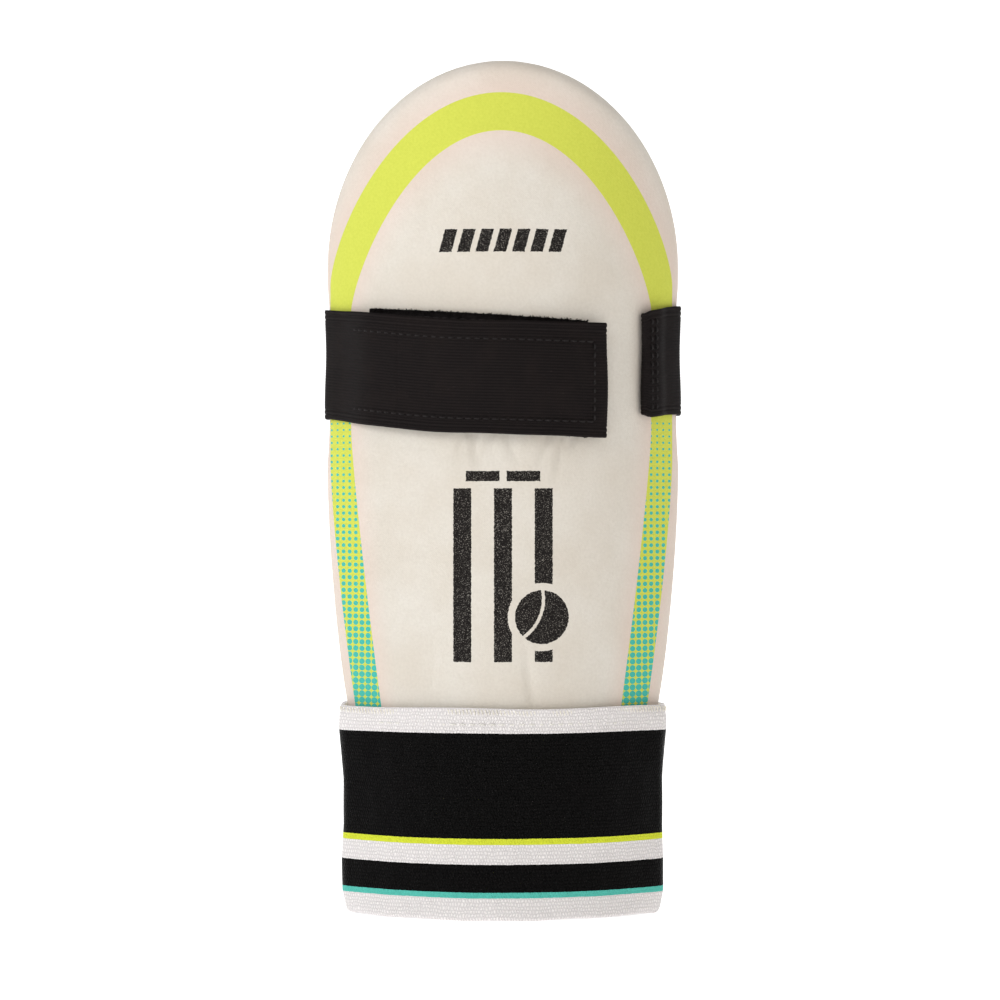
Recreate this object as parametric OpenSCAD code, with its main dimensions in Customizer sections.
// Forearm guard for a cricket batter: a moulded foam pad in a cloth cover, an elastic strap that
// fastens on the face with hook and loop, and a knitted cuff that the hand goes through.
// Units are millimetres. Z runs up the forearm and the face looks towards -Y. The arm lies along Z,
// between the pad in front and the strap and the cuff behind. The guard stands on the cuff's rim.

/* [Pad] */
// Width of the pad at its widest
pad_w = 118.4; // [98:0.1:143]
// Height of the pad's top above the cuff's lower rim
pad_top = 286; // [236:1:345]
// Height of the dome above the widest stretch
dome_h = 66; // [50:1:80]
// Height at which the sides begin to taper in
waist_z = 153; // [125:1:160]
// How far each side has tapered in at the cuff's top edge
taper = 8.2; // [4:0.1:10]
// Height of the pad's lower end, inside the cuff
pad_bottom = 14; // [10:1:24]
// Radius of the pad's two lower corners
corner_r = 15; // [8:1:20]
// How far the face's sides fall back behind its middle, where the pad is widest
face_depth = 32.65; // [27:0.05:40]
// Depth of the pad's side wall beside the strap
side_wall = 6.4; // [5:0.1:9]
// Depth of the pad's side wall at the cuff
wrist_wall = 9; // [7:0.1:11]

/* [Pad layers] */
// Thickness of the cover cloth
cloth_t = 1; // [0.6:0.1:1.5]
// Thickness of the moulded foam shell
shell_t = 5; // [4:0.1:7]
// Thickness of the stiff insert
insert_t = 1.6; // [1:0.1:2.5]
// Thickness of the soft foam next to the arm
comfort_t = 3.4; // [2.5:0.1:5]
// Thickness of the lining cloth
lining_t = 1; // [0.6:0.1:1.5]
// How far the stiff insert's edge lies inside the pad's edge
insert_inset = 14; // [8:1:20]
// Gap between two layers
layer_gap = 0.1; // [0.05:0.05:0.2]

/* [Print] */
// Thickness of the printed film
film_t = 0.15; // [0.1:0.05:0.2]
// Width of the printed band at the top of its arch
band_w = 12.5; // [8:0.5:16]
// Width of the printed band down each side
band_side_w = 8; // [6:0.5:11]
// How far the band lies below the pad's top
band_drop = 10; // [7:0.5:16]
// How far the band lies inside the pad's sides
band_inset = 1.8; // [1:0.1:5]
// How far the row of printed bars lies below the pad's top
row_drop = 59; // [50:1:64]

/* [Strap] */
// Width of the elastic webbing
strap_w = 38; // [30:1:46]
// Thickness of the webbing
strap_t = 1.4; // [1:0.1:1.8]
// How far the strap's middle, on the left edge of the pad, lies below the pad's top
strap_drop = 101.3; // [96:0.1:112]
// Gap between the webbing and the pad's side
strap_gap = 0.4; // [0.3:0.1:0.8]
// Radius inside the webbing's turn round the pad's edge
strap_turn_r = 3.6; // [3:0.1:4]
// How far the strap stands out behind the pad's back edges
strap_depth = 22.6; // [18:0.1:40]
// Where the sewn end of the strap stops on the face
anchor_x = 46.4; // [42:0.1:50]
// Slope of the sewn part, rising to the right
strap_tilt = 0.8; // [0:0.1:2]
// Slope of the tail, falling to the right
tail_tilt = 2.64; // [0:0.1:4]
// Where the free tip of the tail stops on the face
tip_x = 35; // [28:0.5:37]
// Length of the turned-under end of the tip
hem_l = 5.5; // [4:0.5:8]
// Where the tail bends when its tip is peeled up
peel_x = -10; // [-16:1:0]

/* [Hook and loop] */
// Left end of the loop patch
patch_left = -44; // [-48:0.5:-38]
// Height of the loop patch
patch_h = 40; // [32:1:48]
// Thickness of the loop patch with its pile
patch_t = 1.8; // [1.2:0.1:2.2]
// Height of the loop patch's middle, measured from the strap's middle
patch_rise = 0; // [-3:0.1:3]
// Slope of the loop patch, falling to the right
patch_tilt = 3.6; // [0:0.1:4]
// Thickness of the hook tape
hook_t = 0.9; // [0.6:0.1:1.2]
// Width of the hook tape
hook_w = 28; // [20:1:30]
// Left end of the hook tape
hook_left = -34; // [-38:1:-24]

/* [Cuff] */
// Height of the cuff
cuff_h = 70.5; // [58:0.5:84]
// Thickness of one ply of the cuff
ply_t = 1.3; // [1:0.1:1.6]
// Gap between the cuff and the pad
cuff_gap = 0.4; // [0.3:0.1:1]
// Radius inside the cuff's turn round the pad's edges
cuff_turn_r = 3; // [2:0.5:3]
// How far the cuff stands out behind the pad's back edges
cuff_depth = 26.3; // [20:0.1:40]
// How much higher the inner ply ends than the outer ply, at the lower rim
inner_rise = 0.4; // [0.2:0.1:1]

/* [Stitching] */
// Width of a row of stitching
thread_w = 0.8; // [0.5:0.1:1]
// Height that stitching stands above the cloth
thread_h = 0.35; // [0.2:0.05:0.4]
// Length of one stitch
stitch_l = 2.4; // [1.8:0.1:3]
// Distance from the start of one stitch to the next
stitch_pitch = 3.4; // [3.2:0.1:5]
// Distance of a row of stitching from the edge that it follows
seam_margin = 2.2; // [1.6:0.1:3]

/* [Hidden] */
$fn = 180;

// Least gap between pieces that move against each other, and between cloth and thread.
run_gap = 0.3;
seat_gap = 0.05;

// Widths and depths of the pad. Depths are measured forward from the axis of the face's curve.
half_w = pad_w / 2;
face_r = (half_w * half_w + face_depth * face_depth) / (2 * face_depth);
dome_z = pad_top - dome_h;
strap_z = pad_top - strap_drop;
taper_power = 1.6;
function side_w(z) =
    z >= waist_z ? half_w : half_w - taper * pow((waist_z - z) / (waist_z - cuff_h), taper_power);
function chord(r, x) = sqrt(r * r - x * x);
back_high = chord(face_r, half_w) - side_wall;
back_low = chord(face_r, side_w(cuff_h)) - wrist_wall;
function back_depth(z) = back_low + (back_high - back_low) * (z - cuff_h) / (strap_z - cuff_h);

// Outer radius of each layer of the pad.
shell_r = face_r - cloth_t - layer_gap;
insert_r = shell_r - shell_t - layer_gap;
comfort_r = insert_r - insert_t - layer_gap;
lining_r = comfort_r - comfort_t - layer_gap;
arm_r = lining_r - lining_t;
wall_inset = cloth_t + layer_gap;

// Inner radius of each thing that is stacked on the face.
film_r = face_r + seat_gap;
patch_r = film_r + film_t + seat_gap;
hook_r = patch_r + patch_t + run_gap;
tail_r = hook_r + hook_t + layer_gap;
tail_out_r = tail_r + strap_t;
anchor_r = film_r + film_t + seat_gap;
anchor_out_r = anchor_r + strap_t;
patch_right = tip_x - hem_l - 1.5;
hook_right = patch_right - 2 * seam_margin;

// The strap's and the cuff's plan sizes: inside the webbing, and inside and outside the two plies.
strap_in_w = half_w + strap_gap;
strap_half_w = strap_in_w + strap_t;
strap_side = chord(face_r, half_w) - side_wall - 2;
strap_end_y = strap_depth + strap_t - strap_side;
cuff_wall = 2 * ply_t + layer_gap;
cuff_in_r = face_r + cuff_gap;
cuff_in_w = side_w(cuff_h) + cuff_gap;
cuff_side = back_low;
cuff_end_y = cuff_depth + cuff_wall - cuff_side;

// The axis of the face's curve, set so that the guard's depth is centred on the origin.
front_r = tail_out_r + seat_gap + thread_h;
axis_y = (front_r - max(strap_end_y, cuff_end_y)) / 2;

// The vertical lines that the tail and its tip fold about, on the webbing's outer side.
tail_fold = [-strap_half_w, axis_y - strap_side];
tip_fold = [peel_x, axis_y - chord(tail_out_r, peel_x)];
reach = 200;
side_reach = strap_half_w + 5;

function strap_mid(x) = strap_z + tan(strap_tilt) * (x + strap_half_w);
function tail_mid(x) = strap_z - tan(tail_tilt) * (x + strap_half_w);
patch_mid_x = (patch_left + patch_right) / 2;
patch_mid_z = tail_mid(patch_mid_x) + patch_rise;
function patch_mid(x) = patch_mid_z - tan(patch_tilt) * (x - patch_mid_x);

// ---- Shared shapes ----

// A tube about the axis of the face's curve.
module ring(r_in, r_out) {
    translate([0, axis_y, -5])
        difference() {
            cylinder(r = r_out, h = pad_top + 10);
            translate([0, 0, -1]) cylinder(r = r_in, h = pad_top + 12);
        }
}

// A front-view shape, given as x and z, carried forward from the axis.
module front_cut() {
    translate([0, axis_y, 0]) rotate([90, 0, 0]) linear_extrude(reach) children();
}

// A tube of one layer, cut to a front-view shape.
module wrap(r_in, r_out) {
    intersection() {
        ring(r_in, r_out);
        front_cut() children();
    }
}

// The pad's front-view outline, drawn in by an even inset.
function outline(inset) =
    let (
        corner_z = pad_bottom + corner_r,
        corner_x = side_w(corner_z) - corner_r,
        side_rise = (waist_z - corner_z) / 12,
        right = concat(
            [for (a = [-90:15:-15])
                [corner_x + (corner_r - inset) * cos(a), corner_z + (corner_r - inset) * sin(a)]],
            [for (i = [0:11]) [side_w(corner_z + i * side_rise) - inset, corner_z + i * side_rise]],
            [[half_w - inset, waist_z]],
            [for (a = [0:5:85])
                [(half_w - inset) * cos(a), dome_z + (dome_h - inset) * sin(a)]]
        )
    )
    concat(right, [[0, pad_top - inset]], [for (i = [len(right) - 1:-1:0]) [-right[i].x, right[i].y]]);

// Everything in front of the pad's back edges, drawn forward by a step.
module ahead_of_back(step) {
    low = -5;
    high = pad_top + 5;
    rotate([90, 0, 90])
        linear_extrude(reach, center = true)
            polygon([
                [axis_y - reach, low],
                [axis_y - back_depth(low) - step, low],
                [axis_y - back_depth(high) - step, high],
                [axis_y - reach, high],
            ]);
}

module pad_layer(r_in, r_out, inset) {
    intersection() {
        wrap(r_in, r_out) polygon(outline(inset));
        ahead_of_back(inset);
    }
}

// Right half of a band's plan outline: a front arc, a turn, a straight side and a rounded back.
function half_loop(r, w, turn, side, depth) =
    let (
        turn_y = -chord(r - turn, w - turn),
        swing = asin((w - turn) / (r - turn)),
        squareness = 0.8
    )
    concat(
        [for (i = [0:23]) [r * sin(swing * i / 24), -r * cos(swing * i / 24)]],
        [for (i = [0:6])
            let (a = swing + (90 - swing) * i / 6) [w - turn + turn * sin(a), turn_y - turn * cos(a)]],
        [for (i = [0:18])
            [w * pow(cos(i * 5), squareness), -side + depth * pow(sin(i * 5), squareness)]]
    );

module loop_shape(r, w, turn, side, depth) {
    right = half_loop(r, w, turn, side, depth);
    polygon(concat(right, [for (i = [len(right) - 2:-1:1]) [-right[i].x, right[i].y]]));
}

// A closed band, given by its inner plan outline and its thickness.
module band(r, w, turn, side, depth, t) {
    translate([0, axis_y, 0])
        difference() {
            loop_shape(r + t, w + t, turn + t, side, depth + t);
            loop_shape(r, w, turn, side, depth);
        }
}

// A sloping strip in front view, from one x to another.
module strip(x0, x1, z0, z1, h) {
    polygon([[x0, z0 - h / 2], [x1, z1 - h / 2], [x1, z1 + h / 2], [x0, z0 + h / 2]]);
}

// A row of stitches in front view, from one point to another.
module stitch_row(from, to) {
    run = to - from;
    count = max(1, floor(norm(run) / stitch_pitch));
    pitch = norm(run) / count;
    translate(from)
        rotate(atan2(run.y, run.x))
            for (i = [0:count - 1])
                translate([(i + 0.5) * pitch - stitch_l / 2, -thread_w / 2])
                    square([stitch_l, thread_w]);
}

// Stitches lying on a curved surface of a given radius.
module stitches_on(r) {
    wrap(r + seat_gap, r + seat_gap + thread_h) children();
}

// ---- Pad ----

// The cloth cover: the face, the rim and a turned edge on the back.
module cover() {
    color([0.92, 0.89, 0.84])
        difference() {
            pad_layer(arm_r, face_r, 0);
            intersection() {
                wrap(arm_r - 5, face_r - cloth_t) polygon(outline(cloth_t));
                ahead_of_back(cloth_t);
            }
        }
}

module foam_shell() {
    color([0.95, 0.95, 0.95]) pad_layer(shell_r - shell_t, shell_r, wall_inset);
}

module stiff_insert() {
    color([0.75, 0.78, 0.8]) pad_layer(insert_r - insert_t, insert_r, insert_inset);
}

module comfort_foam() {
    color([0.85, 0.85, 0.82]) pad_layer(comfort_r - comfort_t, comfort_r, wall_inset);
}

module lining() {
    color([0.8, 0.79, 0.77]) pad_layer(arm_r, lining_r, wall_inset);
}

// The seam that closes the cover onto the lining, round the arm side of the pad.
module rim_seam() {
    color([0.9, 0.9, 0.88])
        intersection() {
            wrap(arm_r - seat_gap - thread_h, arm_r - seat_gap)
                difference() {
                    polygon(outline(seam_margin));
                    polygon(outline(seam_margin + thread_w));
                }
            ahead_of_back(seam_margin);
        }
}

// ---- Print ----

// The band's edges are arches: straight-sided below and elliptical above.
module arch(inset, drop, foot) {
    w = half_w - band_inset - inset;
    rise = pad_top - drop - dome_z + 15;
    spring_z = dome_z - 15;
    sides = [for (z = [foot:(spring_z - foot) / 12:spring_z - 1]) [side_w(z) - half_w + w, z]];
    top = [for (a = [0:5:180]) [w * cos(a), spring_z + rise * sin(a)]];
    polygon(concat(sides, top, [for (i = [len(sides) - 1:-1:0]) [-sides[i].x, sides[i].y]]));
}

module band_print() {
    foot = cuff_h - 8;
    color([0.84, 0.9, 0.33])
        wrap(film_r, film_r + film_t)
            difference() {
                arch(0, band_drop, foot);
                arch(band_side_w, band_drop + band_w, foot - 1);
            }
}

// A row of plain slanted bars.
module row_print() {
    bar_w = 4.2;
    bar_pitch = 6.1;
    bar_h = 7.6;
    slant = 2;
    color([0.08, 0.08, 0.08])
        wrap(film_r, film_r + film_t)
            for (i = [-3:3])
                translate([i * bar_pitch - (bar_w + slant) / 2, pad_top - row_drop - bar_h / 2])
                    polygon([[0, 0], [bar_w, 0], [bar_w + slant, bar_h], [slant, bar_h]]);
}

// Three stumps with two bails, and a ball in front of them.
module emblem_print() {
    stump_w = 6;
    stump_pitch = 13.6;
    stump_h = 58;
    bail_l = 11.2;
    bail_h = 3.4;
    ball_r = 9;
    clear = 2.4;
    low = (cuff_h + strap_z - strap_w / 2 - stump_h - clear - bail_h) / 2;
    ball = [ball_r + 4, low + ball_r + 6];
    color([0.08, 0.08, 0.08])
        wrap(film_r, film_r + film_t) {
            difference() {
                for (i = [-1:1])
                    translate([i * stump_pitch - stump_w / 2, low]) square([stump_w, stump_h]);
                translate(ball) circle(ball_r + clear);
            }
            for (side = [-1, 1])
                translate([side * stump_pitch / 2 - bail_l / 2, low + stump_h + clear])
                    square([bail_l, bail_h]);
            translate(ball) circle(ball_r);
        }
}

// ---- Hook and loop, strap ----

module loop_patch() {
    color([0.1, 0.1, 0.1])
        wrap(patch_r, patch_r + patch_t)
            strip(patch_left, patch_right, patch_mid(patch_left), patch_mid(patch_right), patch_h);
}

module loop_patch_stitching() {
    x0 = patch_left + seam_margin;
    x1 = patch_right - seam_margin;
    half_h = patch_h / 2 - seam_margin;
    a = [x0, patch_mid(x0) - half_h];
    b = [x1, patch_mid(x1) - half_h];
    up = [0, 2 * half_h];
    color([0.16, 0.16, 0.17])
        stitches_on(patch_r + patch_t) {
            stitch_row(a + [1, 0], b - [1, 0]);
            stitch_row(a + up + [1, 0], b + up - [1, 0]);
            stitch_row(a, a + up);
            stitch_row(b, b + up);
        }
}

// The sewn part: from its end on the face, round the right edge and behind the arm.
module strap_webbing() {
    color([0.09, 0.09, 0.09])
        intersection() {
            linear_extrude(pad_top)
                intersection() {
                    band(anchor_r, strap_in_w, strap_turn_r, strap_side, strap_depth, strap_t);
                    union() {
                        translate([-reach / 2, tail_fold.y + run_gap / 2]) square([reach, reach]);
                        translate([anchor_x, -reach / 2]) square(reach);
                    }
                }
            translate([0, reach / 2, 0])
                front_cut()
                    strip(-side_reach, side_reach, strap_mid(-side_reach), strap_mid(side_reach), strap_w);
        }
}

module strap_stitching() {
    x0 = anchor_x + seam_margin;
    half_h = strap_w / 2 - seam_margin;
    color([0.2, 0.2, 0.21])
        stitches_on(anchor_out_r) {
            stitch_row([x0, strap_mid(x0) - half_h], [x0, strap_mid(x0) + half_h]);
            stitch_row([x0 + 3, strap_mid(x0) - half_h], [x0 + 3, strap_mid(x0) + half_h]);
        }
}

// The free part of the webbing, between two places on the face.
module free_webbing(x0, x1) {
    intersection() {
        linear_extrude(pad_top)
            intersection() {
                band(tail_r, strap_in_w, strap_turn_r, strap_side, strap_depth, strap_t);
                translate([x0, tail_fold.y - run_gap / 2 - reach]) square([x1 - x0, reach]);
            }
        front_cut()
            strip(-side_reach, side_reach, tail_mid(-side_reach), tail_mid(side_reach), strap_w);
    }
}

module hook_strip(x0, x1) {
    wrap(hook_r, hook_r + hook_t) strip(x0, x1, tail_mid(x0), tail_mid(x1), hook_w);
}

// The two rows that hold the hook tape, along one stretch of the tail.
module hook_rows(x0, x1) {
    row = hook_w / 2 - seam_margin;
    for (side = [-1, 1])
        stitch_row([x0, tail_mid(x0) + side * row], [x1, tail_mid(x1) + side * row]);
}

module tail_webbing() {
    color([0.09, 0.09, 0.09]) free_webbing(-reach / 2, peel_x - run_gap / 2);
}

module tail_hook_tape() {
    color([0.13, 0.13, 0.14]) hook_strip(hook_left, peel_x - 1);
}

module tail_stitching() {
    x0 = hook_left + seam_margin;
    half_row = hook_w / 2 - seam_margin;
    color([0.2, 0.2, 0.21])
        stitches_on(tail_out_r) {
            hook_rows(x0 + 1, peel_x - 1);
            stitch_row([x0, tail_mid(x0) - half_row], [x0, tail_mid(x0) + half_row]);
        }
}

module tip_webbing() {
    color([0.09, 0.09, 0.09]) free_webbing(peel_x + run_gap / 2, tip_x);
}

module tip_hook_tape() {
    color([0.13, 0.13, 0.14]) hook_strip(peel_x + 1, hook_right);
}

// The end of the webbing, turned under and sewn down.
module tip_hem() {
    x0 = tip_x - hem_l;
    color([0.09, 0.09, 0.09])
        wrap(tail_r - layer_gap - strap_t, tail_r - layer_gap)
            strip(x0, tip_x, tail_mid(x0), tail_mid(tip_x), strap_w);
}

module tip_stitching() {
    x1 = tip_x - hem_l + 1;
    half_row = strap_w / 2 - 1;
    color([0.2, 0.2, 0.21])
        stitches_on(tail_out_r) {
            hook_rows(peel_x + 1, hook_right);
            stitch_row([x1, tail_mid(x1) - half_row], [x1, tail_mid(x1) + half_row]);
        }
}

// ---- Cuff ----

// A band round the cuff's inside, a step further out and of a given thickness.
module cuff_band(step, t) {
    band(cuff_in_r + step, cuff_in_w + step, cuff_turn_r + step, cuff_side, cuff_depth + step, t);
}

module cuff_outer_ply() {
    color([0.2, 0.2, 0.2]) linear_extrude(cuff_h) cuff_band(ply_t + layer_gap, ply_t);
}

module cuff_inner_ply() {
    color([0.95, 0.95, 0.94])
        translate([0, 0, inner_rise]) linear_extrude(cuff_h - inner_rise) cuff_band(0, ply_t);
}

// Overlocking that binds the two plies' upper edges.
module cuff_overlock() {
    overlock_h = 2.4;
    color([0.97, 0.97, 0.96])
        translate([0, 0, cuff_h - overlock_h - 0.2])
            linear_extrude(overlock_h) cuff_band(cuff_wall + seat_gap, thread_h);
}

// The upright seam that closes the knitted strip into a tube, behind the wrist.
module cuff_back_seam() {
    seam_w = 3;
    color([0.95, 0.95, 0.94])
        translate([-seam_w / 2, axis_y + cuff_end_y + seat_gap, 1])
            cube([seam_w, 2 * thread_h, cuff_h - 5]);
}

// The row that fixes the cuff to the pad's face.
module cuff_stitching() {
    x1 = side_w(cuff_h) - 12;
    z1 = cuff_h - 5;
    color([0.97, 0.97, 0.96])
        stitches_on(cuff_in_r + cuff_wall) stitch_row([-x1, z1], [x1, z1]);
}

cover();
foam_shell();
stiff_insert();
comfort_foam();
lining();
rim_seam();
band_print();
row_print();
emblem_print();
loop_patch();
loop_patch_stitching();
strap_webbing();
strap_stitching();
cuff_outer_ply();
cuff_inner_ply();
cuff_overlock();
cuff_back_seam();
cuff_stitching();
tail_webbing();
tail_hook_tape();
tail_stitching();
tip_webbing();
tip_hook_tape();
tip_hem();
tip_stitching();
